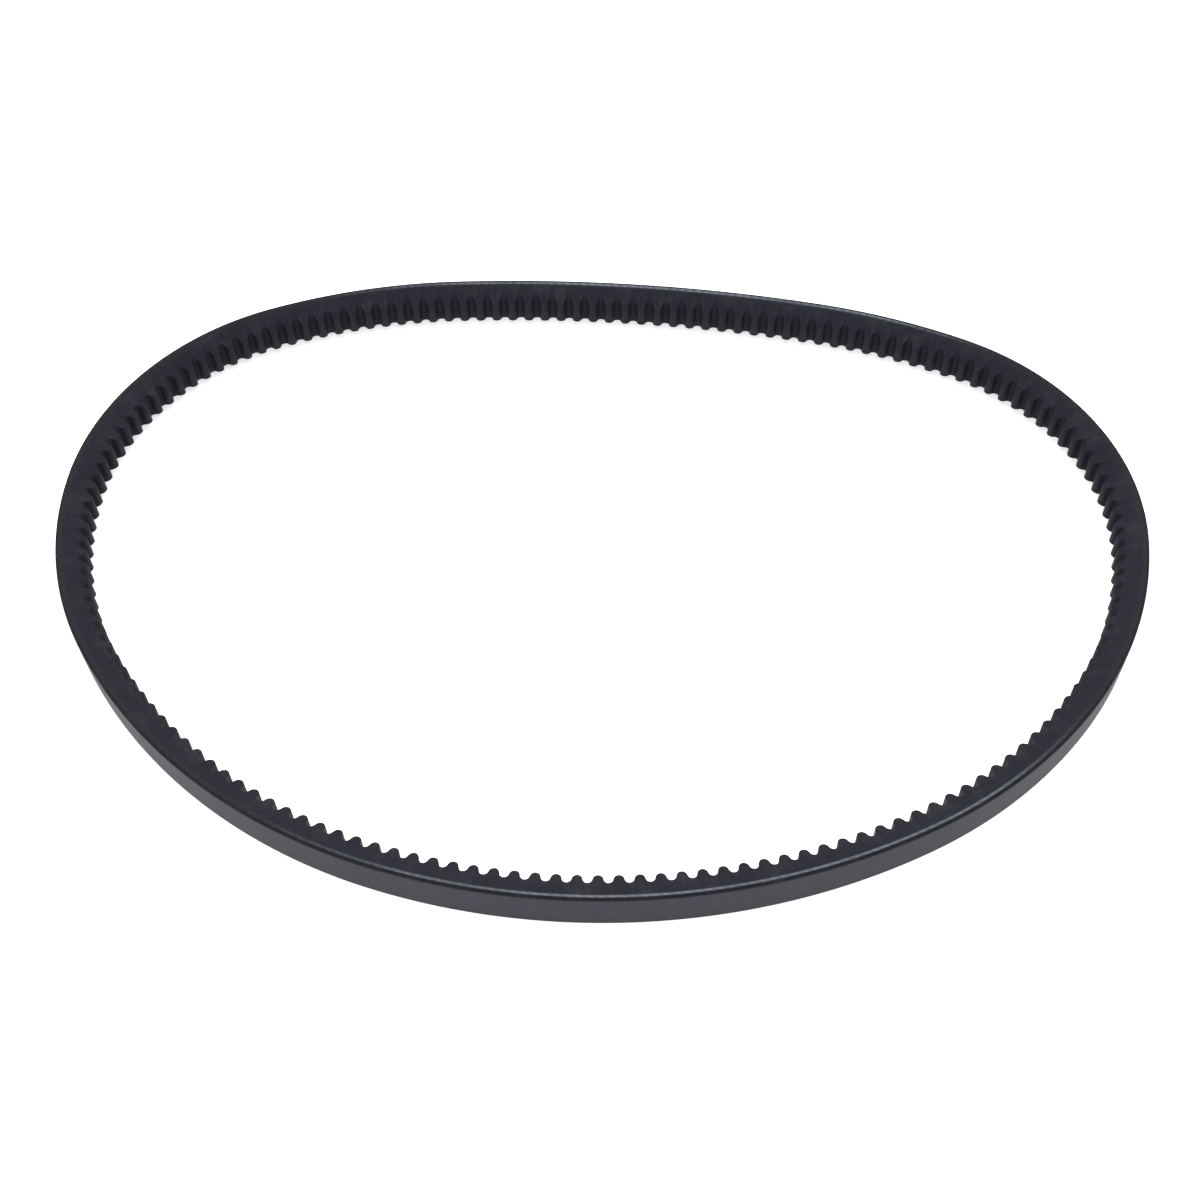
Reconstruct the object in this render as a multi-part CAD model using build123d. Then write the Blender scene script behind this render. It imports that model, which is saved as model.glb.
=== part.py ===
from build123d import *
from build123d.topology import SkipClean
from dataclasses import dataclass
import math
import os

# Raw-edge cogged V-belt, lying on its side in a loose egg-shaped loop.
#
# Frame: millimetres, +Z up, +X along the loop's longest side. The belt rests on the
# plane z = 0 and the origin is under the middle of its bounding box.
#
# Every layer runs once round the loop. A layer's cross-section is drawn with x
# pointing outwards from the cord line and y pointing up from the belt's mid-plane.
# Depths are measured inwards from the cord line, towards the cogs.

# ---------------------------------------------------------------- driving sizes

# Belt as a whole
pitch_length = 815.0  # once round the belt, along the cord line
top_width = 13.0  # across the back, before its corners are rounded
belt_height = 8.0  # from the back to the tips of the cogs
wedge_angle = 40.0  # between the two flanks
back_corner_radius = 0.7

# Layers, from the back inwards
back_ply_thickness = 0.3  # each of the two fabric plies
cord_line_depth = 1.25  # from the back to the middle of the cords
cord_diameter = 1.1
cord_gap = 0.14  # least rubber between one lap of cord and the next
cord_flank_trim = 0.3  # taken off the outermost laps where the flank is cut
rubber_under_cord = 0.35

# Cogs, moulded across the inner side
cog_pitch_wanted = 5.13  # along the cord line; a whole number of cogs goes round
cog_depth = 2.5
cog_tip_radius = 1.25
cog_side_angle = 15.0  # each side of a cog, from square to the belt

# How the loop lies: each bend turns anticlockwise by so many degrees, on a radius
# given as a multiple of the loop's mean radius. The last two bends' radii are not
# given, because they follow from the loop closing on itself.
start_heading = -20.0  # running direction at the first bend, from +X
bends_with_radius = [
    (45.0, 1.39),  # long shallow front
    (25.0, 1.00),
    (30.0, 0.83),
    (70.0, 0.57),  # tight right-hand end
    (15.0, 1.37),
    (15.0, 3.33),  # nearly straight back run
    (20.0, 1.28),
    (65.0, 0.59),  # tight left-hand end
]
closing_turns = (35.0, 40.0)

# How far the cogs' mould core and its blank run past the finished rubber
mould_overrun = 1.0

# Bends are made in stretches of at most so many degrees, so that no round face is long
longest_stretch = 10.0

# ---------------------------------------------------------------- worked-out sizes

half_wedge = math.radians(wedge_angle / 2)
cord_radius = cord_diameter / 2
adhesion_depth = cord_radius + rubber_under_cord
tip_depth = belt_height - cord_line_depth
root_depth = tip_depth - cog_depth
cog_count = round(pitch_length / cog_pitch_wanted)
cog_pitch = pitch_length / cog_count


@dataclass
class Bend:
    """One arc of the cord line, seen from above."""

    centre: Vector
    radius: float
    start_angle: float  # from the centre to the arc's start, in radians
    turn: float  # in radians

    def point(self, angle, depth, along=0.0, height=0.0):
        """The point `depth` inwards of the arc and `along` it, square to the radius at `angle`."""
        outward = Vector(math.cos(angle), math.sin(angle))
        forward = Vector(-math.sin(angle), math.cos(angle))
        flat = self.centre + outward * (self.radius - depth) + forward * along
        return Vector(flat.X, flat.Y, height)


# ---------------------------------------------------------------- the loop in plan


def chord(start_angle, turn):
    """From the start to the end of an arc of radius 1."""
    end_angle = start_angle + turn
    return Vector(
        math.cos(end_angle) - math.cos(start_angle),
        math.sin(end_angle) - math.sin(start_angle),
    )


def closing_radii(gap, first, second):
    """Lengths of the two chords that together undo `gap`."""
    span = first.X * second.Y - first.Y * second.X
    first_length = (second.X * gap.Y - second.Y * gap.X) / span
    second_length = (first.Y * gap.X - first.X * gap.Y) / span
    return first_length, second_length


def make_bends():
    """The closed chain of tangent arcs that the cord line follows."""
    turns = [math.radians(turn) for turn, _ in bends_with_radius]
    turns += [math.radians(turn) for turn in closing_turns]
    first_angle = math.radians(start_heading - 90)
    start_angles = [first_angle + sum(turns[:i]) for i in range(len(turns))]
    chords = [chord(angle, turn) for angle, turn in zip(start_angles, turns)]

    radii = [radius for _, radius in bends_with_radius]
    gap = Vector()
    for one_chord, radius in zip(chords, radii):
        gap += one_chord * radius
    radii += closing_radii(gap, chords[-2], chords[-1])

    length = sum(radius * turn for radius, turn in zip(radii, turns))
    radii = [radius * pitch_length / length for radius in radii]

    bends = []
    start = Vector()
    for angle, turn, radius, one_chord in zip(start_angles, turns, radii, chords):
        centre = start - Vector(math.cos(angle), math.sin(angle)) * radius
        bends.append(Bend(centre, radius, angle, turn))
        start += one_chord * radius
    return bends


def edge_towards(bends, angle):
    """The point of the cord line that lies furthest in the direction `angle`."""
    for bend in bends:
        if (angle - bend.start_angle) % (2 * math.pi) <= bend.turn:
            return bend.point(angle, 0)


def centred(bends):
    """The same bends, with the middle of their bounding box at the origin."""
    east, north, west, south = (edge_towards(bends, math.radians(a)) for a in (0, 90, 180, 270))
    middle = Vector((east.X + west.X) / 2, (north.Y + south.Y) / 2)
    return [Bend(b.centre - middle, b.radius, b.start_angle, b.turn) for b in bends]


bends = centred(make_bends())

# ---------------------------------------------------------------- the cross-section


def flank_height(depth):
    """Half the belt's width at a depth below the cord line."""
    return top_width / 2 - (cord_line_depth + depth) * math.tan(half_wedge)


def wedge(outer_depth, inner_depth):
    """The slice of the V between two depths, with sharp corners."""
    outer = flank_height(outer_depth)
    inner = flank_height(inner_depth)
    return make_face(
        Polyline(
            (-outer_depth, -outer),
            (-outer_depth, outer),
            (-inner_depth, inner),
            (-inner_depth, -inner),
            close=True,
        )
    )


def belt_section():
    """The whole V down to the cog tips, with the back's corners rounded."""
    sharp = wedge(-cord_line_depth, tip_depth)
    back_corners = sharp.vertices().group_by(Axis.X)[-1]
    return fillet(back_corners, back_corner_radius)


def layer(outer_depth, inner_depth):
    """The slice of the rounded V between two depths."""
    band = Rectangle(inner_depth - outer_depth, 2 * top_width)
    return belt_section() & Pos(-(outer_depth + inner_depth) / 2, 0) * band


def cord_heights():
    """Where each lap of the cord sits across the belt, from the lower flank to the upper."""
    outermost = flank_height(0) - cord_radius + cord_flank_trim
    gaps = math.floor(2 * outermost / (cord_diameter + cord_gap))
    spacing = 2 * outermost / gaps
    return [i * spacing - outermost for i in range(gaps + 1)]


def cord_lap(height):
    """One lap of the cord, cut off where the flank is cut."""
    return Pos(0, height) * Circle(cord_radius) & belt_section()


mid_height = belt_section().bounding_box().max.Y

# ---------------------------------------------------------------- solids


def run_round(section):
    """Carry a cross-section once round the loop, in short stretches that keep their own faces."""
    stretches = []
    for bend in bends:
        count = math.ceil(math.degrees(bend.turn) / longest_stretch)
        for i in range(count):
            angle = bend.start_angle + i * bend.turn / count
            start = bend.point(angle, 0, height=mid_height)
            outward = bend.point(angle, -1, height=mid_height) - start
            across = Plane(origin=start, x_dir=outward, z_dir=outward.cross(Vector(0, 0, 1)))
            axis = Axis((bend.centre.X, bend.centre.Y, 0), (0, 0, 1))
            stretches.append(revolve(across * section, axis, math.degrees(bend.turn) / count))
    with SkipClean():
        return stretches[0].fuse(*stretches[1:])


def stations(first):
    """A bend and an angle on it for each cog pitch, starting at a share of a pitch."""
    travelled = 0.0
    found = []
    for bend in bends:
        arc_length = bend.radius * bend.turn
        while (len(found) + first) * cog_pitch < travelled + arc_length - 1e-9:
            along = (len(found) + first) * cog_pitch - travelled
            found.append((bend, bend.start_angle + along / bend.radius))
        travelled += arc_length
    return found


def cog_tip(bend, angle):
    """The round tip of a cog, up to where it meets the cog's straight sides."""
    side = math.radians(cog_side_angle)
    reach = cog_tip_radius * math.cos(side)
    depth = tip_depth - cog_tip_radius * (1 - math.sin(side))
    return ThreePointArc(
        bend.point(angle, depth, -reach),
        bend.point(angle, tip_depth),
        bend.point(angle, depth, reach),
    )


def groove_root(bend, angle):
    """The round bottom of the groove between two cogs, which closes up as the belt bends."""
    half_pitch = cog_pitch / 2 / bend.radius
    side = math.radians(cog_side_angle)
    groove_side = side - half_pitch

    # The end of the next cog's round tip, seen from the middle of the groove
    tip_reach = cog_tip_radius * math.cos(side)
    tip_distance = bend.radius - tip_depth + cog_tip_radius * (1 - math.sin(side))
    half_gap = tip_distance * math.sin(half_pitch) - tip_reach * math.cos(half_pitch)
    mouth_depth = bend.radius - tip_distance * math.cos(half_pitch) - tip_reach * math.sin(half_pitch)

    # The circle that touches the groove's bottom and both of its sides
    narrowing = (mouth_depth - root_depth) * math.sin(groove_side)
    radius = (half_gap * math.cos(groove_side) - narrowing) / (1 - math.sin(groove_side))
    reach = radius * math.cos(groove_side)
    depth = root_depth + radius * (1 - math.sin(groove_side))
    return ThreePointArc(
        bend.point(angle, depth, -reach),
        bend.point(angle, root_depth),
        bend.point(angle, depth, reach),
    )


def mould_core():
    """Everything inside the loop that the cogs and their grooves leave free."""
    tips = [cog_tip(bend, angle) for bend, angle in stations(0.0)]
    roots = [groove_root(bend, angle) for bend, angle in stations(0.5)]
    outline = []
    for i, (tip, root) in enumerate(zip(tips, roots)):
        next_tip = tips[(i + 1) % cog_count]
        outline += [tip, Line(tip @ 1, root @ 0), root, Line(root @ 1, next_tip @ 0)]
    plan = Face(Wire(outline))
    below = Pos(0, 0, -mould_overrun) * plan
    return extrude(below, 2 * (mid_height + mould_overrun), dir=(0, 0, 1))


def cogged_compression_rubber():
    """The deep inner layer, with the cogs moulded into it."""
    blank = run_round(wedge(adhesion_depth, tip_depth + mould_overrun))
    return blank - mould_core()


# ---------------------------------------------------------------- the belt

cords = [cord_lap(height) for height in cord_heights()]
ply_joint = back_ply_thickness - cord_line_depth
fabric_bottom = 2 * back_ply_thickness - cord_line_depth

nodes = {
    "back_ply_outer": run_round(layer(-cord_line_depth, ply_joint)),
    "back_ply_inner": run_round(layer(ply_joint, fabric_bottom)),
    "adhesion_rubber_upper": run_round(layer(fabric_bottom, 0) - cords),
    "adhesion_rubber_lower": run_round(layer(0, adhesion_depth) - cords),
    "cogged_compression_rubber": cogged_compression_rubber(),
}
for number, cord in enumerate(cords, start=1):
    nodes[f"tensile_cord_lap_{number:02d}"] = run_round(cord)

os.makedirs("parts", exist_ok=True)
for name, solid in nodes.items():
    export_step(solid, f"parts/{name}.step")
    print(f"{name:28s} {solid.volume:10.1f} mm3")
print(f"{cog_count} cogs at {cog_pitch:.3f} mm, {len(cords)} laps of cord")
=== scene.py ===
import logging
import math
from collections.abc import Callable
from dataclasses import dataclass, field
from enum import Enum

import bmesh
import bpy
from mathutils import Matrix, Vector


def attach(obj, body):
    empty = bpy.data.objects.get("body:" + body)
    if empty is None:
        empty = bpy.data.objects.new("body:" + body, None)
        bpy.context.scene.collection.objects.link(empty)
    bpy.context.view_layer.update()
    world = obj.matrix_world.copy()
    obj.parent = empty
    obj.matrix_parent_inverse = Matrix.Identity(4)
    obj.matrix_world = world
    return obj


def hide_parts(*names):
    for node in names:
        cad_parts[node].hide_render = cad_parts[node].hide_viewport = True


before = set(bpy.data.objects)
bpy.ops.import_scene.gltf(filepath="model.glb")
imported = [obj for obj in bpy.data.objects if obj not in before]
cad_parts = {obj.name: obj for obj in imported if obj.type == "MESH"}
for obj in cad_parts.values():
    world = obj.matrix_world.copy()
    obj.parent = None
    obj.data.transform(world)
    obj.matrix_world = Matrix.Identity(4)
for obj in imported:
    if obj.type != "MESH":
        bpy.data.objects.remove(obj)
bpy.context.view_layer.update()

log = logging.getLogger("belt")

MM = 0.001
BELT_LENGTH = 815 * MM
COG_COUNT = 159
COG_PITCH = BELT_LENGTH / COG_COUNT

# Points closer than this are one point
TOUCH = 0.01 * MM

# A face squarely faces an axis when its unit normal reaches this far along it
SQUARE = 0.9

# The attribute that keeps each face corner's place in straight stock
STOCK = "stock_place"

Colour = tuple[float, float, float, float]
Feed = bpy.types.NodeSocket | float | Colour | tuple[float, float, float]

DUST: Colour = (0.08, 0.08, 0.09, 1)


class Slot(Enum):
    """The record's material slots."""

    BACK_FABRIC = "back_fabric"
    PLY_EDGE = "ply_edge"
    ADHESION_RUBBER = "adhesion_rubber"
    COMPRESSION_RUBBER = "compression_rubber"
    TENSILE_CORD = "tensile_cord"


class Side(Enum):
    """The belt's two flanks, as the sign of the height they face."""

    LOWER = -1
    UPPER = 1


# ------------------------------------------------------------------ the loop


@dataclass(frozen=True)
class Bend:
    """One arc of the cord line in plan, in metres and radians."""

    centre: Vector
    radius: float
    start_angle: float
    turn: float

    def point(self, angle: float) -> Vector:
        """The arc's point in the direction `angle` from its centre."""
        return self.centre + Vector((math.cos(angle), math.sin(angle))) * self.radius


@dataclass(frozen=True)
class BeltLoop:
    """The closed chain of tangent arcs that the belt's cord line follows.

    Each bend is a turn in degrees and a radius as a multiple of the loop's mean radius.
    The radii of the closing turns follow from the loop closing on itself.
    """

    pitch_length: float = BELT_LENGTH
    start_heading: float = -20.0
    bends_with_radius: tuple[tuple[float, float], ...] = (
        (45.0, 1.39),
        (25.0, 1.00),
        (30.0, 0.83),
        (70.0, 0.57),
        (15.0, 1.37),
        (15.0, 3.33),
        (20.0, 1.28),
        (65.0, 0.59),
    )
    closing_turns: tuple[float, float] = (35.0, 40.0)
    guide_step: float = math.radians(7.5)

    def bends(self) -> list[Bend]:
        """The arcs at their real size, with the middle of the loop's box at the origin.

        Returns:
            The arcs, anticlockwise from the shallow front run.
        """
        turns = [math.radians(turn) for turn, _ in self.bends_with_radius]
        turns += [math.radians(turn) for turn in self.closing_turns]
        first = math.radians(self.start_heading - 90)
        starts = [first + sum(turns[:i]) for i in range(len(turns))]
        chords = [_direction(a + t) - _direction(a) for a, t in zip(starts, turns)]
        radii = [radius for _, radius in self.bends_with_radius]
        gap = sum((c * r for c, r in zip(chords, radii)), Vector((0, 0)))
        closing = Matrix(((chords[-2].x, chords[-1].x), (chords[-2].y, chords[-1].y)))
        radii += list(closing.inverted() @ -gap)
        scale = self.pitch_length / sum(r * t for r, t in zip(radii, turns))

        found = []
        start = Vector((0, 0))
        for angle, turn, radius, chord in zip(starts, turns, radii, chords):
            centre = start - _direction(angle) * radius * scale
            found.append(Bend(centre, radius * scale, angle, turn))
            start = start + chord * radius * scale
        return _centred(found)

    def guide(self, height: float) -> bpy.types.Object:
        """A closed Bezier curve along the cord line, for bending straight stock round.

        Args:
            height: how far above the floor the curve lies.

        Returns:
            The curve's object, which is scaffolding and isn't kept.
        """
        joints = []
        for bend in self.bends():
            count = max(1, round(bend.turn / self.guide_step))
            step = bend.turn / count
            reach = bend.radius * math.tan(step / 4) * 4 / 3
            joints += [(bend, bend.start_angle + i * step, reach) for i in range(count)]
        # A closed curve is followed from its last knot on
        joints = joints[1:] + joints[:1]

        curve = bpy.data.curves.new("cord_line", "CURVE")
        curve.dimensions = "3D"
        curve.twist_mode = "Z_UP"
        curve.resolution_u = 32
        spline = curve.splines.new("BEZIER")
        spline.bezier_points.add(len(joints) - 1)
        spline.use_cyclic_u = True
        before = joints[-1][2]
        for knot, (bend, angle, reach) in zip(spline.bezier_points, joints):
            place = bend.point(angle).to_3d()
            place.z = height
            forward = _direction(angle + math.pi / 2).to_3d()
            knot.handle_left_type = knot.handle_right_type = "FREE"
            knot.co = place
            knot.handle_left = place - forward * before
            knot.handle_right = place + forward * reach
            before = reach
        guide = bpy.data.objects.new("cord_line", curve)
        bpy.context.scene.collection.objects.link(guide)
        return guide


def _direction(angle: float) -> Vector:
    """The unit vector at an angle from +X."""
    return Vector((math.cos(angle), math.sin(angle)))


def _centred(bends: list[Bend]) -> list[Bend]:
    """The same arcs, moved so that the middle of their box is at the origin.

    Args:
        bends: the arcs of one closed loop.

    Returns:
        The moved arcs, in the same order.
    """

    def furthest(angle: float) -> Vector:
        """The loop's furthest point towards `angle`."""
        return next(
            b.point(angle) for b in bends if (angle - b.start_angle) % math.tau <= b.turn
        )

    east, north, west, south = (furthest(i * math.pi / 2) for i in range(4))
    middle = Vector(((east.x + west.x) / 2, (north.y + south.y) / 2))
    return [Bend(b.centre - middle, b.radius, b.start_angle, b.turn) for b in bends]


# ------------------------------------------------------------- the cross-section


@dataclass(frozen=True)
class BeltSection:
    """The belt's cross-section in metres. Depths run inwards from the cord line."""

    top_width: float = 13 * MM
    half_wedge: float = math.radians(20)
    back: float = -1.25 * MM
    corner_radius: float = 0.7 * MM
    ply: float = 0.3 * MM
    cord_radius: float = 0.55 * MM
    outermost_cord: float = 5.795 * MM
    adhesion: float = 0.9 * MM
    groove: float = 4.25 * MM
    tip: float = 6.75 * MM
    pitch: float = COG_PITCH
    pitches: int = COG_COUNT

    def half_width(self, depth: float) -> float:
        """Half the width between the two flanks at a depth."""
        return self.top_width / 2 - (depth - self.back) * math.tan(self.half_wedge)

    @property
    def corner_run(self) -> float:
        """How far the back's corner is rounded along the back and along the flank."""
        return self.corner_radius / math.tan(math.radians(45) - self.half_wedge / 2)

    @property
    def rounded_half_width(self) -> float:
        """Half the belt's greatest width, on its rounded back corners."""
        return self.top_width / 2 - self.corner_run + self.corner_radius

    def flank_plane(self, side: Side) -> tuple[Vector, Vector]:
        """A point of one flank and the flank's outward normal.

        Args:
            side: which flank.

        Returns:
            The point and the unit normal, in straight stock.
        """
        point = Vector((0, self.back, side.value * self.top_width / 2))
        normal = Vector((0, math.sin(self.half_wedge), side.value * math.cos(self.half_wedge)))
        return point, normal


# ------------------------------------------------------------------- stock


class Stock:
    """One pitch of straight belt material, shaped in edit mode and then run round the loop.

    x runs along the belt, y inwards from the cord line and z up from the belt's middle.
    """

    def __init__(self, name: str, section: BeltSection) -> None:
        """Start a piece that has no shape yet.

        Args:
            name: the finished piece's name.
            section: the cross-section that the piece is part of.
        """
        self.name = name
        self.section = section
        self.piece: bpy.types.Object | None = None

    def block(self, lowest: Vector, highest: Vector) -> None:
        """Add a block between two corners and open it for editing."""
        bpy.ops.object.select_all(action="DESELECT")
        bpy.ops.mesh.primitive_cube_add(
            size=1, location=(lowest + highest) / 2, scale=highest - lowest
        )
        self._settle()

    def disc(self, radius: float, sides: int, start: Vector) -> None:
        """Add a flat disc square to x and open it for editing."""
        bpy.ops.object.select_all(action="DESELECT")
        bpy.ops.mesh.primitive_circle_add(
            vertices=sides,
            radius=radius,
            fill_type="NGON",
            location=start,
            rotation=(0, math.pi / 2, 0),
        )
        self._settle()

    def _settle(self) -> None:
        """Apply the new primitive's place and open it for editing."""
        bpy.ops.object.transform_apply(location=True, rotation=True, scale=True)
        self.piece = bpy.context.object
        self.piece.name = self.piece.data.name = self.name
        bpy.ops.object.mode_set(mode="EDIT")

    def pick_faces(self, wanted: Callable[[Vector, Vector], bool]) -> None:
        """Select only the faces whose middle and normal are wanted."""
        bpy.ops.mesh.select_mode(type="FACE")
        bpy.ops.mesh.select_all(action="DESELECT")
        mesh = bmesh.from_edit_mesh(self.piece.data)
        mesh.normal_update()
        for face in mesh.faces:
            face.select_set(wanted(face.calc_center_median(), face.normal))
        bmesh.update_edit_mesh(self.piece.data)

    def pick_edges(self, wanted: Callable[[Vector, Vector], bool]) -> None:
        """Select only the edges whose two ends are wanted."""
        bpy.ops.mesh.select_mode(type="EDGE")
        bpy.ops.mesh.select_all(action="DESELECT")
        mesh = bmesh.from_edit_mesh(self.piece.data)
        for edge in mesh.edges:
            edge.select_set(wanted(edge.verts[0].co, edge.verts[1].co))
        bmesh.update_edit_mesh(self.piece.data)

    def cut(self, point: Vector, normal: Vector, discard: bool = False) -> None:
        """Cut the whole piece along a plane.

        Args:
            point: a point of the plane.
            normal: the plane's normal.
            discard: whether the side that the normal points to is thrown away.
        """
        bpy.ops.mesh.select_all(action="SELECT")
        bpy.ops.mesh.bisect(
            plane_co=point, plane_no=normal, use_fill=discard, clear_outer=discard, threshold=TOUCH
        )

    def cut_flanks(self) -> None:
        """Throw away what stands out past the two flanks."""
        for side in Side:
            self.cut(*self.section.flank_plane(side), discard=True)

    def layer(self, outer_face: float, inner_face: float, corner_segments: int = 10) -> None:
        """Make the slice of the rounded V between two depths.

        Args:
            outer_face: the slice's depth on the side of the belt's back.
            inner_face: its depth on the side of the cogs.
            corner_segments: how many faces go round the back's corner.
        """
        s = self.section
        corner = Vector((s.pitch / 2, s.tip, s.top_width / 2))
        self.block(Vector((-corner.x, s.back, -corner.z)), corner)
        self.cut_flanks()

        def on_back_corner(a: Vector, b: Vector) -> bool:
            """Whether an edge runs along one of the back's two corners."""
            on_back = max(a.y, b.y) < s.back + TOUCH
            return on_back and a.z * b.z > 0 and abs(a.x - b.x) > TOUCH

        self.pick_edges(on_back_corner)
        self.bevel(s.corner_run, corner_segments)
        if outer_face > s.back + TOUCH:
            self.cut(Vector((0, outer_face, 0)), Vector((0, -1, 0)), discard=True)
        self.cut(Vector((0, inner_face, 0)), Vector((0, 1, 0)), discard=True)

    def divide(self, parts: int) -> None:
        """Cut the pitch into equal parts along the belt."""
        for i in range(1, parts):
            x = (i / parts - 0.5) * self.section.pitch
            self.cut(Vector((x, 0, 0)), Vector((1, 0, 0)))

    def bevel(self, width: float, segments: int) -> None:
        """Round the selected edges."""
        bpy.ops.mesh.bevel(offset=width, segments=segments, affect="EDGES", clamp_overlap=True)

    def open_ends(self) -> None:
        """Take off the two end faces, where one pitch meets the next."""
        end = self.section.pitch / 2 - TOUCH
        self.pick_faces(lambda middle, normal: abs(middle.x) > end and abs(normal.x) > SQUARE)
        bpy.ops.mesh.delete(type="FACE")

    def merge(self) -> None:
        """Merge points that lie on each other."""
        bpy.ops.mesh.select_all(action="SELECT")
        bpy.ops.mesh.remove_doubles(threshold=TOUCH)

    def run_round(self, loop: BeltLoop, smooth_angle: float) -> bpy.types.Object:
        """Repeat the pitch, note where each point lies in straight stock, and close the loop.

        Args:
            loop: the loop that the belt lies in.
            smooth_angle: the largest angle between faces that are shaded as one surface.

        Returns:
            The finished piece.
        """
        bpy.ops.object.mode_set(mode="OBJECT")
        repeat = self.piece.modifiers.new("pitches", "ARRAY")
        repeat.count = self.section.pitches
        repeat.use_relative_offset = False
        repeat.use_constant_offset = True
        repeat.constant_offset_displace = (self.section.pitch, 0, 0)
        repeat.use_merge_vertices = True
        repeat.merge_threshold = TOUCH
        bpy.ops.object.modifier_apply(modifier=repeat.name)
        self._note_stock()

        guide = loop.guide(self.section.rounded_half_width)
        bend = self.piece.modifiers.new("loop", "CURVE")
        bend.object = guide
        bend.deform_axis = "POS_X"
        bpy.ops.object.modifier_apply(modifier=bend.name)
        bpy.data.objects.remove(guide)

        bpy.ops.object.mode_set(mode="EDIT")
        self.merge()
        bpy.ops.mesh.normals_make_consistent(inside=False)
        bpy.ops.object.mode_set(mode="OBJECT")
        bpy.ops.object.shade_smooth_by_angle(angle=smooth_angle)
        return self.piece

    def _note_stock(self) -> None:
        """Keep each face corner's place in straight stock, for patterns that follow the belt."""
        mesh = self.piece.data
        noted = mesh.attributes.new(STOCK, "FLOAT_VECTOR", "CORNER")
        for corner, place in zip(mesh.loops, noted.data):
            place.vector = mesh.vertices[corner.vertex_index].co


# ------------------------------------------------------------------- node groups


class Wiring:
    """Adds and joins nodes in one node tree."""

    def __init__(self, tree: bpy.types.NodeTree) -> None:
        """Work in a node tree."""
        self.tree = tree

    def feed(self, socket: bpy.types.NodeSocket, value: Feed) -> None:
        """Give a socket a link or a plain value."""
        if isinstance(value, bpy.types.NodeSocket):
            self.tree.links.new(value, socket)
        else:
            socket.default_value = value

    def add(self, kind: str, feeds: dict[str, Feed], **settings: str | int | bool) -> bpy.types.Node:
        """Add a node.

        Args:
            kind: the node's type.
            feeds: what each named input gets.
            settings: the node's own options.

        Returns:
            The new node.
        """
        node = self.tree.nodes.new(kind)
        for option, value in settings.items():
            setattr(node, option, value)
        for name, value in feeds.items():
            self.feed(node.inputs[name], value)
        return node

    def maths(self, operation: str, *values: Feed) -> bpy.types.NodeSocket:
        """The result of a sum on numbers."""
        node = self.tree.nodes.new("ShaderNodeMath")
        node.operation = operation
        for socket, value in zip(node.inputs, values):
            self.feed(socket, value)
        return node.outputs[0]

    def scaled(self, value: Feed, by: Feed) -> bpy.types.NodeSocket:
        """A number times another."""
        return self.maths("MULTIPLY", value, by)

    def total(self, first: Feed, *others: Feed) -> bpy.types.NodeSocket:
        """The sum of several numbers."""
        for other in others:
            first = self.maths("ADD", first, other)
        return first

    def stretch(self, vector: Feed, by: tuple[float, float, float]) -> bpy.types.NodeSocket:
        """A vector with each axis scaled by its own amount."""
        node = self.tree.nodes.new("ShaderNodeVectorMath")
        node.operation = "MULTIPLY"
        self.feed(node.inputs[0], vector)
        self.feed(node.inputs[1], by)
        return node.outputs[0]

    def noise(self, vector: Feed, scale: Feed, detail: float = 2.0) -> bpy.types.NodeSocket:
        """Soft noise from 0 to 1."""
        feeds = {"Vector": vector, "Scale": scale, "Detail": detail, "Roughness": 0.6}
        return self.add("ShaderNodeTexNoise", feeds).outputs["Fac"]

    def step(self, value: Feed, low: Feed, high: Feed) -> bpy.types.NodeSocket:
        """A smooth change from 0 at `low` to 1 at `high`."""
        feeds = {"Value": value, "From Min": low, "From Max": high}
        return self.add("ShaderNodeMapRange", feeds, interpolation_type="SMOOTHSTEP").outputs[0]

    def tint(self, share: Feed, first: Feed, second: Feed) -> bpy.types.NodeSocket:
        """A colour between two colours."""
        node = self.tree.nodes.new("ShaderNodeMix")
        node.data_type = "RGBA"
        # The node's inputs 6 and 7 and its output 2 are the ones for colours
        for number, value in ((0, share), (6, first), (7, second)):
            self.feed(node.inputs[number], value)
        return node.outputs[2]

    def parts(self, vector: Feed) -> tuple[bpy.types.NodeSocket, ...]:
        """A vector's three numbers."""
        return tuple(self.add("ShaderNodeSeparateXYZ", {"Vector": vector}).outputs)

    def place(self) -> bpy.types.NodeSocket:
        """Where a point lies in space."""
        return self.add("ShaderNodeTexCoord", {}).outputs["Object"]

    def normal(self) -> bpy.types.NodeSocket:
        """The direction that the surface faces."""
        return self.add("ShaderNodeNewGeometry", {}).outputs["Normal"]

    def stock(self) -> tuple[bpy.types.NodeSocket, ...]:
        """How far a point lies along, into and across straight stock."""
        noted = self.add("ShaderNodeAttribute", {}, attribute_name=STOCK)
        return self.parts(noted.outputs["Vector"])


class Effect:
    """A shader node group that several finishes share."""

    def __init__(self, name: str, inputs: dict[str, float], outputs: list[str]) -> None:
        """Open a new group.

        Args:
            name: the group's name.
            inputs: each input number and its usual value.
            outputs: the numbers that the group gives.
        """
        self.tree = bpy.data.node_groups.new(name, "ShaderNodeTree")
        sockets = self.tree.interface
        for label, usual in inputs.items():
            socket = sockets.new_socket(label, in_out="INPUT", socket_type="NodeSocketFloat")
            socket.default_value = usual
        for label in outputs:
            sockets.new_socket(label, in_out="OUTPUT", socket_type="NodeSocketFloat")
        self.wiring = Wiring(self.tree)
        self.inputs = self.tree.nodes.new("NodeGroupInput").outputs
        self.outputs = self.tree.nodes.new("NodeGroupOutput").inputs


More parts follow.
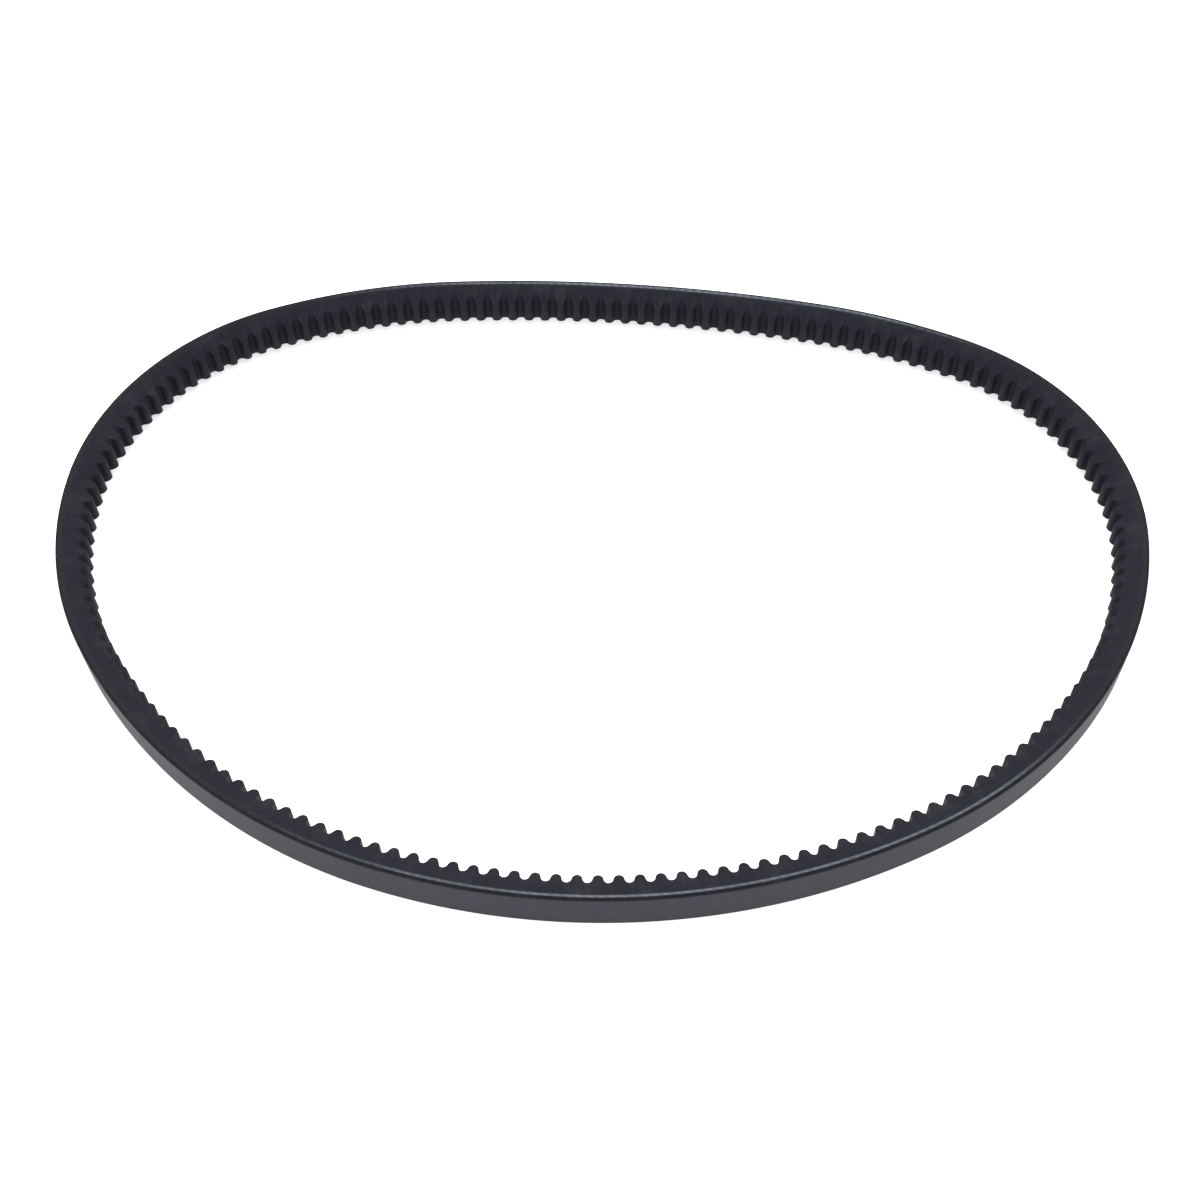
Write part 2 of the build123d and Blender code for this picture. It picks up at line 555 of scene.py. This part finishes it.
class Effects:
    """The shared effects, each built once."""

    def __init__(self, section: BeltSection) -> None:
        """Build every group.

        Args:
            section: the cross-section, which the patterns are fitted to.
        """
        self.section = section
        self.grain = self._grain()
        self.weave = self._weave()
        self.fibres = self._fibres()
        self.wear = self._wear()
        self.dust = self._dust()
        self.grinding = self._grinding()

    def _grain(self) -> bpy.types.NodeTree:
        """Coarse cloudiness and fine grain, even in all directions."""
        usual = {"Fine per metre": 4000, "Broad per metre": 90}
        effect = Effect("rubber_grain", usual, ["Fine", "Broad"])
        w = effect.wiring
        place = w.place()
        w.feed(effect.outputs["Fine"], w.noise(place, effect.inputs["Fine per metre"], 3.0))
        w.feed(effect.outputs["Broad"], w.noise(place, effect.inputs["Broad per metre"], 3.0))
        return effect.tree

    def _weave(self) -> bpy.types.NodeTree:
        """Bias-cut cloth: two families of threads that cross the belt both ways."""
        usual = {"Threads round the belt": 1100, "Slope": 0.75}
        effect = Effect("bias_weave", usual, ["Height", "Slub"])
        w = effect.wiring
        along, _, across = w.stock()
        turns = w.scaled(effect.inputs["Threads round the belt"], math.tau / BELT_LENGTH)
        slant = w.scaled(turns, effect.inputs["Slope"])
        run = w.scaled(along, turns)
        lean = w.scaled(across, slant)
        warp = w.maths("SINE", w.maths("ADD", run, lean))
        weft = w.maths("SINE", w.maths("SUBTRACT", run, lean))
        over = w.scaled(w.scaled(warp, weft), 0.5)
        ribs = w.scaled(w.maths("MAXIMUM", warp, weft), 0.5)
        w.feed(effect.outputs["Height"], w.maths("ADD", ribs, over))
        across_the_back = (900.0, 900.0, 70.0)
        streaks = w.stretch(w.place(), across_the_back)
        w.feed(effect.outputs["Slub"], w.noise(streaks, 1.0, 3.0))
        return effect.tree

    def _fibres(self) -> bpy.types.NodeTree:
        """Short chopped fibres: lying across the belt on cogs, and cut off as specks on a flank."""
        effect = Effect("chopped_fibres", {"Amount": 0.5}, ["Streaks", "Specks", "Flank"])
        w = effect.wiring
        place = w.place()
        upright = w.maths("ABSOLUTE", w.parts(w.normal())[2])
        flank = w.step(upright, 0.6, 0.85)
        least = w.maths("SUBTRACT", 0.78, w.scaled(effect.inputs["Amount"], 0.16))
        most = w.maths("ADD", least, 0.05)
        ends = w.noise(place, 3600.0, 1.0)
        across_the_cogs = (5000.0, 5000.0, 420.0)
        lying = w.noise(w.stretch(place, across_the_cogs), 1.0, 1.0)
        w.feed(effect.outputs["Specks"], w.scaled(w.step(ends, least, most), flank))
        w.feed(effect.outputs["Streaks"], w.step(lying, w.maths("SUBTRACT", least, 0.08), most))
        w.feed(effect.outputs["Flank"], flank)
        return effect.tree

    def _wear(self) -> bpy.types.NodeTree:
        """Rubbing on whatever lies close to a flank or to the back's corners."""
        effect = Effect("edge_rub", {"Reach in mm": 0.3}, ["Rubbed"])
        w = effect.wiring
        _, depth, across = w.stock()
        lean = math.tan(self.section.half_wedge)
        at_cord_line = self.section.top_width / 2 + self.section.back * lean
        flank = w.maths("SUBTRACT", at_cord_line, w.scaled(depth, lean))
        inset = w.maths("SUBTRACT", flank, w.maths("ABSOLUTE", across))
        near = w.step(inset, w.scaled(effect.inputs["Reach in mm"], MM), 0.0)
        patches = w.step(w.noise(w.place(), 700.0, 4.0), 0.4, 0.62)
        w.feed(effect.outputs["Rubbed"], w.scaled(near, patches))
        return effect.tree

    def _dust(self) -> bpy.types.NodeTree:
        """Pale specks and a faint film on what faces upwards."""
        effect = Effect("dust", {"Amount": 0.5}, ["Dusty"])
        w = effect.wiring
        place = w.place()
        facing_up = w.step(w.parts(w.normal())[2], 0.2, 0.9)
        specks = w.step(w.noise(place, 2400.0, 2.0), 0.70, 0.76)
        film = w.scaled(w.step(w.noise(place, 160.0, 4.0), 0.45, 0.75), 0.35)
        both = w.scaled(w.maths("ADD", specks, film), facing_up)
        w.feed(effect.outputs["Dusty"], w.scaled(both, effect.inputs["Amount"]))
        return effect.tree

    def _grinding(self) -> bpy.types.NodeTree:
        """Fine lines that run along a flank where it was cut and ground."""
        effect = Effect("flank_grinding", {"Lines per mm": 9.0}, ["Lines"])
        w = effect.wiring
        changes_per_metre = 60.0
        _, depth, _ = w.stock()
        level = w.scaled(w.scaled(depth, effect.inputs["Lines per mm"]), 1 / MM)
        east, north, _ = w.parts(w.place())
        feeds = {
            "X": w.scaled(east, changes_per_metre),
            "Y": w.scaled(north, changes_per_metre),
            "Z": level,
        }
        spot = w.add("ShaderNodeCombineXYZ", feeds)
        w.feed(effect.outputs["Lines"], w.noise(spot.outputs[0], 1.0, 2.0))
        return effect.tree


# ------------------------------------------------------------------- finishes


@dataclass(frozen=True)
class Finish:
    """A material with a base colour, the colour of its highs and its own surface."""

    name: str
    deep: Colour
    worn: Colour
    roughness: float
    gloss: float = 0.12
    relief: float = 0.03 * MM

    def start(self) -> tuple[bpy.types.Material, Wiring, bpy.types.Node]:
        """Open a new material.

        Returns:
            The material, its wiring and its shader.
        """
        material = bpy.data.materials.new(self.name)
        material.use_nodes = True
        wiring = Wiring(material.node_tree)
        shader = material.node_tree.nodes["Principled BSDF"]
        shader.inputs["Specular IOR Level"].default_value = self.gloss
        return material, wiring, shader

    def effect(self, wiring: Wiring, group: bpy.types.NodeTree, **values: float) -> bpy.types.Node:
        """Place a shared effect in the material.

        Args:
            wiring: the material's wiring.
            group: the effect's group.
            values: the effect's inputs, with spaces written as underscores.

        Returns:
            The group's node.
        """
        node = wiring.tree.nodes.new("ShaderNodeGroup")
        node.node_tree = group
        for name, value in values.items():
            node.inputs[name.replace("_", " ")].default_value = value
        return node

    def raise_surface(self, wiring: Wiring, shader: bpy.types.Node, height: Feed) -> None:
        """Feed a height from 0 to 1 to the shader's normal."""
        feeds = {"Height": height, "Distance": self.relief, "Strength": 1.0}
        bump = wiring.add("ShaderNodeBump", feeds)
        wiring.feed(shader.inputs["Normal"], bump.outputs["Normal"])


@dataclass(frozen=True)
class FabricFinish(Finish):
    """Rubberised cloth: a bias weave under a thin skin, with streaks across the belt, and painted
    shade on the back's rounded corners.
    """

    # Painted shade: a near-black colour laid on the back's rounded corners and the cloth's cut edge,
    # where the shade falls.
    corner: Colour = (0.006, 0.006, 0.009, 1)
    corner_shade_starts: float = -1.22 * MM
    corner_shade_ends: float = -1.1 * MM
    least_tone: float = 0.14
    streak_tone: float = 0.36
    thread_tone: float = 0.16
    cloud_tone: float = 0.3
    sheen: float = 0.06
    sheen_roughness: float = 0.45

    def build(self, effects: Effects) -> bpy.types.Material:
        """Make the material.

        Args:
            effects: the shared effects.

        Returns:
            The material.
        """
        material, w, shader = self.start()
        shader.inputs["Sheen Weight"].default_value = self.sheen
        shader.inputs["Sheen Roughness"].default_value = self.sheen_roughness
        weave = self.effect(w, effects.weave)
        grain = self.effect(w, effects.grain, Fine_per_metre=5200, Broad_per_metre=60)
        rub = self.effect(w, effects.wear, Reach_in_mm=0.55)
        dust = self.effect(w, effects.dust, Amount=0.25)
        fine, broad = grain.outputs["Fine"], grain.outputs["Broad"]
        slub = weave.outputs["Slub"]
        threads = w.step(weave.outputs["Height"], -0.6, 1.0)

        tone = w.total(
            w.scaled(w.step(slub, 0.3, 0.72), self.streak_tone),
            self.least_tone,
            w.scaled(threads, self.thread_tone),
            w.scaled(broad, self.cloud_tone),
        )
        cloth = w.tint(tone, self.deep, self.worn)
        # Painted shade: past the back's flat face, the cloth darkens almost to black round the
        # corner.
        depth = w.stock()[1]
        corner_shade_share = w.step(depth, self.corner_shade_starts, self.corner_shade_ends)
        with_corner_shade = w.tint(w.scaled(corner_shade_share, 0.9), cloth, self.corner)
        rubbed = w.tint(w.scaled(rub.outputs["Rubbed"], 0.1), with_corner_shade, self.worn)
        w.feed(shader.inputs["Base Color"], w.tint(dust.outputs["Dusty"], rubbed, DUST))

        smoothest = self.roughness - 0.17
        rough = w.total(w.scaled(fine, 0.18), w.scaled(slub, 0.16), smoothest)
        w.feed(shader.inputs["Roughness"], rough)
        height = w.total(w.scaled(threads, 0.5), w.scaled(fine, 0.3), w.scaled(slub, 0.4))
        self.raise_surface(w, shader, height)
        return material


@dataclass(frozen=True)
class RubberFinish(Finish):
    """Black rubber: ground where it faces a flank, moulded where it doesn't."""

    moulded: Colour = (0.0085, 0.009, 0.0145, 1)
    fibre: Colour = (0.035, 0.036, 0.046, 1)
    fibre_amount: float = 0.5
    moulded_shine: float = 0.12
    cloud_tone: float = 0.55
    line_tone: float = 0.45

    def build(self, effects: Effects) -> bpy.types.Material:
        """Make the material.

        Args:
            effects: the shared effects.

        Returns:
            The material.
        """
        material, w, shader = self.start()
        grain = self.effect(w, effects.grain, Fine_per_metre=3800, Broad_per_metre=110)
        fibres = self.effect(w, effects.fibres, Amount=self.fibre_amount)
        rub = self.effect(w, effects.wear, Reach_in_mm=0.35)
        dust = self.effect(w, effects.dust, Amount=0.3)
        grinding = self.effect(w, effects.grinding)
        fine, broad = grain.outputs["Fine"], grain.outputs["Broad"]
        specks, streaks = fibres.outputs["Specks"], fibres.outputs["Streaks"]
        lines = grinding.outputs["Lines"]
        flank = fibres.outputs["Flank"]
        off_flank = w.maths("SUBTRACT", 1.0, flank)

        tone = w.total(w.scaled(broad, self.cloud_tone), w.scaled(lines, self.line_tone))
        ground = w.tint(tone, self.deep, self.worn)
        skin = w.tint(w.scaled(streaks, 0.35), self.moulded, self.deep)
        base = w.tint(flank, skin, ground)
        speckled = w.tint(w.scaled(specks, 0.5), base, self.fibre)
        edge = w.scaled(w.scaled(rub.outputs["Rubbed"], off_flank), 0.6)
        rubbed = w.tint(edge, speckled, self.worn)
        w.feed(shader.inputs["Base Color"], w.tint(dust.outputs["Dusty"], rubbed, DUST))

        rough = w.total(w.scaled(fine, 0.2), self.roughness - 0.1)
        rough = w.maths("SUBTRACT", rough, w.scaled(off_flank, self.moulded_shine))
        w.feed(shader.inputs["Roughness"], rough)
        height = w.total(
            w.scaled(fine, 0.5),
            w.scaled(w.scaled(lines, flank), 0.5),
            w.scaled(streaks, 0.3),
            w.scaled(specks, 0.4),
        )
        self.raise_surface(w, shader, height)
        return material


@dataclass(frozen=True)
class CordFinish(Finish):
    """Dipped polyester yarn: light filaments in dark gum.

    The flank cuts the cord open along every lap. Its light yarn, partly its own colour and partly a
    painted highlight, shows along the front and back runs.
    Towards the loop's left and right ends it is painted dark, as painted shade where the light stops
    catching the cut cord.
    """

    gum: Colour = (0.02, 0.026, 0.03, 1)
    # Painted shade: the cut cord's colour towards the loop's left and right ends; left_end and
    # right_end are where it fades along x.
    painted_end_shade: Colour = (0.006, 0.0065, 0.0095, 1)
    left_end: tuple[float, float] = (-95 * MM, -15 * MM)
    right_end: tuple[float, float] = (125 * MM, 80 * MM)
    gum_starts: float = 0.2 * MM
    gum_ends: float = 0.46 * MM
    strands_per_pitch: int = 2
    strand_lean: float = 3.2 / MM
    strand_contrast: float = 0.35

    def build(self, effects: Effects) -> bpy.types.Material:
        """Make the material.

        Args:
            effects: the shared effects.

        Returns:
            The material.
        """
        material, w, shader = self.start()
        grain = self.effect(w, effects.grain, Fine_per_metre=6000, Broad_per_metre=45)
        fine, broad = grain.outputs["Fine"], grain.outputs["Broad"]
        along, depth, _ = w.stock()
        middle = w.step(w.maths("ABSOLUTE", depth), self.gum_ends, self.gum_starts)
        turns = self.strands_per_pitch * math.tau / COG_PITCH
        lay = w.total(w.scaled(along, turns), w.scaled(depth, self.strand_lean))
        strands = w.step(w.maths("SINE", lay), -0.9, 0.3)
        bright = w.total(w.scaled(strands, self.strand_contrast), 1 - self.strand_contrast)
        yarn = w.tint(w.step(broad, 0.3, 0.7), self.deep, self.worn)
        cut_open = w.tint(w.scaled(middle, bright), self.gum, yarn)

        # Painted light: the yarn's light colour shows only on the front and back runs, and fades to
        # painted shade towards the left and right ends.
        east = w.parts(w.place())[0]
        painted_lit_share = w.scaled(w.step(east, *self.left_end), w.step(east, *self.right_end))
        w.feed(shader.inputs["Base Color"], w.tint(painted_lit_share, self.painted_end_shade, cut_open))
        rough = w.total(w.scaled(fine, 0.25), self.roughness - 0.12)
        w.feed(shader.inputs["Roughness"], rough)
        self.raise_surface(w, shader, w.total(w.scaled(strands, 0.6), w.scaled(fine, 0.4)))
        return material


# ------------------------------------------------------------------- pieces


@dataclass
class BackPlies:
    """The two plies of rubberised cloth on the belt's back."""

    section: BeltSection
    steps_per_pitch: int = 4
    smooth_angle: float = math.radians(40)

    def build(self, loop: BeltLoop) -> list[bpy.types.Object]:
        """Make the outer and the inner ply.

        Args:
            loop: the loop that the belt lies in.

        Returns:
            The outer ply and the inner ply.
        """
        s = self.section
        plies = []
        for number, name in enumerate(("back_cloth_outer", "back_cloth_inner")):
            stock = Stock(name, s)
            stock.layer(s.back + number * s.ply, s.back + (number + 1) * s.ply)
            stock.divide(self.steps_per_pitch)
            stock.open_ends()
            plies.append(stock.run_round(loop, self.smooth_angle))
        return plies

    def dress(
        self,
        pieces: list[bpy.types.Object],
        cloth: bpy.types.Material,
        edge: bpy.types.Material,
    ) -> None:
        """Finish both plies and put them in the place of their CAD nodes."""
        outer, inner = pieces
        fit(outer, cloth, "back_ply_outer")
        fit(inner, edge, "back_ply_inner")


@dataclass
class AdhesionRubber:
    """The soft rubber that the cord is bedded in, above it and below it."""

    section: BeltSection
    steps_per_pitch: int = 4
    bed_sides: int = 24
    smooth_angle: float = math.radians(40)

    def build(self, loop: BeltLoop) -> list[bpy.types.Object]:
        """Make the layers above and below the cord line.

        Args:
            loop: the loop that the belt lies in.

        Returns:
            The upper and the lower layer.
        """
        s = self.section
        spans = {
            "adhesion_rubber_above_cord": (s.back + 2 * s.ply, 0.0),
            "adhesion_rubber_below_cord": (0.0, s.adhesion),
        }
        layers = []
        for name, (outer_face, inner_face) in spans.items():
            stock = self._layer(name, outer_face, inner_face)
            layers.append(stock.run_round(loop, self.smooth_angle))
        return layers

    def _layer(self, name: str, outer_face: float, inner_face: float) -> Stock:
        """One pitch of a layer between two depths, with a bed for each outermost lap of cord."""
        s = self.section
        stock = Stock(name, s)
        stock.layer(outer_face, inner_face)
        self._bed_cord(stock)
        stock.divide(self.steps_per_pitch)
        stock.open_ends()
        return stock

    def _bed_cord(self, stock: Stock) -> None:
        """Cut the beds of the two outermost laps along the cord line's face."""
        s = self.section
        bpy.ops.object.mode_set(mode="OBJECT")
        for side in Side:
            bpy.ops.object.select_all(action="DESELECT")
            bpy.ops.mesh.primitive_cylinder_add(
                vertices=self.bed_sides,
                radius=s.cord_radius,
                depth=2 * s.pitch,
                location=(0, 0, side.value * s.outermost_cord),
                rotation=(0, math.pi / 2, 0),
            )
            cutter = bpy.context.object
            bpy.context.view_layer.objects.active = stock.piece
            bed = stock.piece.modifiers.new("cord_bed", "BOOLEAN")
            bed.operation = "DIFFERENCE"
            bed.object = cutter
            bpy.ops.object.modifier_apply(modifier=bed.name)
            bpy.data.objects.remove(cutter)
        stock.piece.select_set(True)
        bpy.ops.object.mode_set(mode="EDIT")

    def dress(self, pieces: list[bpy.types.Object], rubber: bpy.types.Material) -> None:
        """Finish both layers and put them in the place of their CAD nodes."""
        for piece, node in zip(pieces, ("adhesion_rubber_upper", "adhesion_rubber_lower")):
            fit(piece, rubber, node)


@dataclass
class CoggedRubber:
    """The deep fibre-filled layer, with round-tipped cogs and round-bottomed grooves."""

    section: BeltSection
    tip_width: float = 2.023 * MM
    base_width: float = 3.362 * MM
    tip_rounding: float = 0.98 * MM
    root_rounding: float = 0.85 * MM
    tip_segments: int = 5
    root_segments: int = 4
    cut_edge: float = 0.07 * MM
    steps_per_pitch: int = 4
    smooth_angle: float = math.radians(38)

    def build(self, loop: BeltLoop) -> bpy.types.Object:
        """Make the layer with its cogs.

        Args:
            loop: the loop that the belt lies in.

        Returns:
            The finished piece.
        """
        s = self.section
        stock = Stock("cogged_rubber", s)
        half_pitch = s.pitch / 2
        half_width = s.top_width / 2
        lowest = Vector((-half_pitch, s.adhesion, -half_width))
        highest = Vector((half_pitch, s.groove, half_width))
        stock.block(lowest, highest)
        self._raise_cog(stock)
        self._round_cog(stock)
        stock.cut_flanks()
        stock.divide(self.steps_per_pitch)
        stock.open_ends()
        self._ease_flank_edges(stock)
        return stock.run_round(loop, self.smooth_angle)

    def _raise_cog(self, stock: Stock) -> None:
        """Draw the cog out of the middle of the inner face."""
        s = self.section
        along = Vector((1, 0, 0))
        for end in (-1, 1):
            stock.cut(Vector((end * self.base_width / 2, 0, 0)), along)
        half_base = self.base_width / 2
        stock.pick_faces(lambda middle, normal: normal.y > SQUARE and abs(middle.x) < half_base)
        bpy.ops.mesh.extrude_region_move(TRANSFORM_OT_translate={"value": (0, s.tip - s.groove, 0)})
        narrowing = self.tip_width / self.base_width
        bpy.ops.transform.resize(value=(narrowing, 1, 1), center_override=(0, s.tip, 0))

    def _round_cog(self, stock: Stock) -> None:
        """Round the cog's tip and the two halves of the groove beside it."""
        s = self.section

        def at(depth: float, half_width: float) -> Callable[[Vector, Vector], bool]:
            """A test for edges across the belt at one depth and distance from the cog's middle."""

            def is_there(point: Vector) -> bool:
                """Whether a point is there."""
                off_middle = abs(abs(point.x) - half_width)
                return abs(point.y - depth) < TOUCH and off_middle < TOUCH

            def wanted(a: Vector, b: Vector) -> bool:
                """Whether both ends of an edge are there."""
                return is_there(a) and is_there(b) and abs(a.x - b.x) < TOUCH

            return wanted

        stock.pick_edges(at(s.tip, self.tip_width / 2))
        stock.bevel(self.tip_rounding, self.tip_segments)
        stock.pick_edges(at(s.groove, self.base_width / 2))
        stock.bevel(self.root_rounding, self.root_segments)
        stock.merge()

    def _ease_flank_edges(self, stock: Stock) -> None:
        """Take the sharp edge off the cogs where the flank was cut."""
        s = self.section
        planes = [s.flank_plane(side) for side in Side]
        inner = s.adhesion + TOUCH

        def on_cut(a: Vector, b: Vector) -> bool:
            """Whether an edge runs along a flank's inner border."""
            middle = (a + b) / 2
            on_flank = any(
                abs((a - point).dot(normal)) < TOUCH and abs((b - point).dot(normal)) < TOUCH
                for point, normal in planes
            )
            return on_flank and middle.y > inner and abs(a.x - b.x) > TOUCH / 4

        stock.pick_edges(on_cut)
        stock.bevel(self.cut_edge, 1)

    def dress(self, piece: bpy.types.Object, rubber: bpy.types.Material) -> None:
        """Finish the layer and put it in the place of its CAD node."""
        fit(piece, rubber, "cogged_compression_rubber")


@dataclass
class TensileCord:
    """The cord, wound from flank to flank. Its two outermost laps are cut open by the flanks."""

    section: BeltSection
    sides: int = 18
    steps_per_pitch: int = 16
    strands: int = 3
    gap_depth: float = 0.86
    proud: float = 0.03 * MM
    smooth_angle: float = math.radians(50)

    def build(self, loop: BeltLoop) -> list[bpy.types.Object]:
        """Make the two outermost laps.

        Args:
            loop: the loop that the belt lies in.

        Returns:
            The lowest and the highest lap.
        """
        return [self._cut_lap(side).run_round(loop, self.smooth_angle) for side in Side]

    def _cut_lap(self, side: Side) -> Stock:
        """One pitch of twisted cord, cut off at a flank."""
        s = self.section
        stock = Stock(f"cut_cord_{side.name.lower()}", s)
        centre = Vector((-s.pitch / 2, 0, side.value * s.outermost_cord))
        stock.disc(s.cord_radius, self.sides, centre)
        self._pinch_strands(stock, centre)
        twist = math.tau * 2 / self.strands / self.steps_per_pitch
        bpy.ops.mesh.select_all(action="SELECT")
        for i in range(self.steps_per_pitch):
            advance = (s.pitch / self.steps_per_pitch, 0, 0)
            bpy.ops.mesh.extrude_region_move(TRANSFORM_OT_translate={"value": advance})
            pivot = centre + Vector(advance) * (i + 1)
            bpy.ops.transform.rotate(value=twist, orient_axis="X", center_override=pivot)
        point, normal = s.flank_plane(side)
        stock.cut(point + normal * self.proud, normal, discard=True)
        stock.divide(self.steps_per_pitch)
        stock.open_ends()
        return stock

    def _pinch_strands(self, stock: Stock, centre: Vector) -> None:
        """Draw the disc's rim in between the cord's strands."""
        per_strand = self.sides // self.strands
        mesh = bmesh.from_edit_mesh(stock.piece.data)
        mesh.verts.ensure_lookup_table()
        bpy.ops.mesh.select_mode(type="VERT")
        bpy.ops.mesh.select_all(action="DESELECT")
        for vertex in mesh.verts:
            vertex.select_set(vertex.index % per_strand == 0)
        bmesh.update_edit_mesh(stock.piece.data)
        bpy.ops.transform.resize(value=(1, self.gap_depth, self.gap_depth), center_override=centre)

    def dress(self, pieces: list[bpy.types.Object], yarn: bpy.types.Material) -> None:
        """Finish the outermost laps in place of their CAD nodes, and the laps between them."""
        nodes = sorted(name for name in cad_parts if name.startswith("tensile_cord_lap"))
        for piece, node in zip(pieces, (nodes[0], nodes[-1])):
            fit(piece, yarn, node)
        for node in nodes[1:-1]:
            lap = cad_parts[node]
            for material_slot in lap.material_slots:
                material_slot.material = yarn
            log.info("%s keeps its CAD shape", node)


def fit(piece: bpy.types.Object, material: bpy.types.Material, node: str) -> None:
    """Give a piece its finish and put it in the place of a CAD node.

    Args:
        piece: the finished piece.
        material: its finish.
        node: the CAD node that it stands for.
    """
    piece.data.materials.clear()
    piece.data.materials.append(material)
    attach(piece, "root")
    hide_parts(node)
    triangles = sum(len(face.vertices) - 2 for face in piece.data.polygons)
    log.info("%s: %d triangles, in place of %s", piece.name, triangles, node)


# ------------------------------------------------------------------- studio


@dataclass
class Studio:
    """A plain pale floor, soft light and the camera."""

    floor_size: float = 8.0
    floor_drop: float = 0.02 * MM
    floor_glow: float = 0.6
    camera_place: Vector = field(default_factory=lambda: Vector((0, -0.2697, 0.3494)))
    camera_target: Vector = field(default_factory=lambda: Vector((0, -0.0149, 0.00633)))
    camera_roll: float = math.radians(-1.62)
    lens: float = 47.43
    nearest: float = 0.01
    sky: float = 1.0

    def build(self) -> None:
        """Make the floor, the lights and the camera."""
        self._floor()
        self._sky()
        self._light("overhead", Vector((0.0, 0.9, 1.4)), 2.2, 36.0)
        self._light("front", Vector((-0.9, -1.5, 0.8)), 1.6, 4.5)
        self._camera()
        bpy.context.scene.view_settings.view_transform = "Standard"

    def _floor(self) -> None:
        """Lay a pale floor under the belt."""
        bpy.ops.object.select_all(action="DESELECT")
        bpy.ops.mesh.primitive_plane_add(size=self.floor_size, location=(0, 0, -self.floor_drop))
        floor = bpy.context.object
        floor.name = "floor"
        material = bpy.data.materials.new("pale_floor")
        material.use_nodes = True
        shader = material.node_tree.nodes["Principled BSDF"]
        shader.inputs["Base Color"].default_value = (0.92, 0.92, 0.92, 1)
        shader.inputs["Roughness"].default_value = 0.9
        shader.inputs["Specular IOR Level"].default_value = 0.1
        shader.inputs["Emission Color"].default_value = (1, 1, 1, 1)
        shader.inputs["Emission Strength"].default_value = self.floor_glow
        floor.data.materials.append(material)

    def _sky(self) -> None:
        """Light the room evenly from all round."""
        world = bpy.data.worlds.new("studio")
        world.use_nodes = True
        world.node_tree.nodes["Background"].inputs["Color"].default_value = (1, 1, 1, 1)
        world.node_tree.nodes["Background"].inputs["Strength"].default_value = self.sky
        bpy.context.scene.world = world

    def _light(self, name: str, place: Vector, size: float, power: float) -> None:
        """Hang a square soft light that faces the belt.

        Args:
            name: the light's name.
            place: where it hangs.
            size: the length of its side.
            power: its power in watts.
        """
        data = bpy.data.lights.new(name, "AREA")
        data.size = size
        data.energy = power
        light = bpy.data.objects.new(name, data)
        light.location = place
        light.rotation_euler = (-place).to_track_quat("-Z", "Y").to_euler()
        bpy.context.scene.collection.objects.link(light)

    def _camera(self) -> None:
        """Set up the camera."""
        data = bpy.data.cameras.new("camera")
        data.lens = self.lens
        data.clip_start = self.nearest
        camera = bpy.data.objects.new("camera", data)
        camera.location = self.camera_place
        aim = (self.camera_target - self.camera_place).to_track_quat("-Z", "Y").to_matrix().to_4x4()
        turned = aim @ Matrix.Rotation(self.camera_roll, 4, "Z")
        camera.rotation_euler = turned.to_euler()
        bpy.context.scene.collection.objects.link(camera)
        bpy.context.scene.camera = camera


# ------------------------------------------------------------------- the belt


@dataclass
class CoggedBelt:
    """The whole belt, layer by layer."""

    loop: BeltLoop = field(default_factory=BeltLoop)
    section: BeltSection = field(default_factory=BeltSection)

    def build(self) -> None:
        """Make and dress every layer, from the back inwards."""
        effects = Effects(self.section)
        cloth = FabricFinish(
            "back_cloth",
            deep=(0.008, 0.007, 0.0115, 1),
            worn=(0.029, 0.026, 0.040, 1),
            roughness=0.6,
        )
        edge = RubberFinish(
            "ply_edge",
            deep=(0.003, 0.003, 0.005, 1),
            worn=(0.008, 0.008, 0.011, 1),
            roughness=0.75,
        )
        bedding = RubberFinish(
            "cord_bedding",
            deep=(0.004, 0.006, 0.008, 1),
            worn=(0.010, 0.013, 0.018, 1),
            roughness=0.65,
        )
        body = RubberFinish(
            "fibre_filled_rubber",
            deep=(0.005, 0.005, 0.0085, 1),
            worn=(0.013, 0.0125, 0.020, 1),
            roughness=0.75,
            fibre_amount=0.6,
        )
        yarn = CordFinish(
            "dipped_yarn",
            deep=(0.068, 0.072, 0.096, 1),
            worn=(0.132, 0.138, 0.178, 1),
            roughness=0.5,
        )

        plies = BackPlies(self.section)
        plies.dress(plies.build(self.loop), cloth.build(effects), edge.build(effects))
        rubber = AdhesionRubber(self.section)
        rubber.dress(rubber.build(self.loop), bedding.build(effects))
        cords = TensileCord(self.section)
        cords.dress(cords.build(self.loop), yarn.build(effects))
        cogs = CoggedRubber(self.section)
        cogs.dress(cogs.build(self.loop), body.build(effects))


def main() -> None:
    """Build the belt and the studio."""
    logging.basicConfig(level=logging.INFO, format="%(name)s: %(message)s")
    CoggedBelt().build()
    Studio().build()


if __name__ == "__main__":
    main()
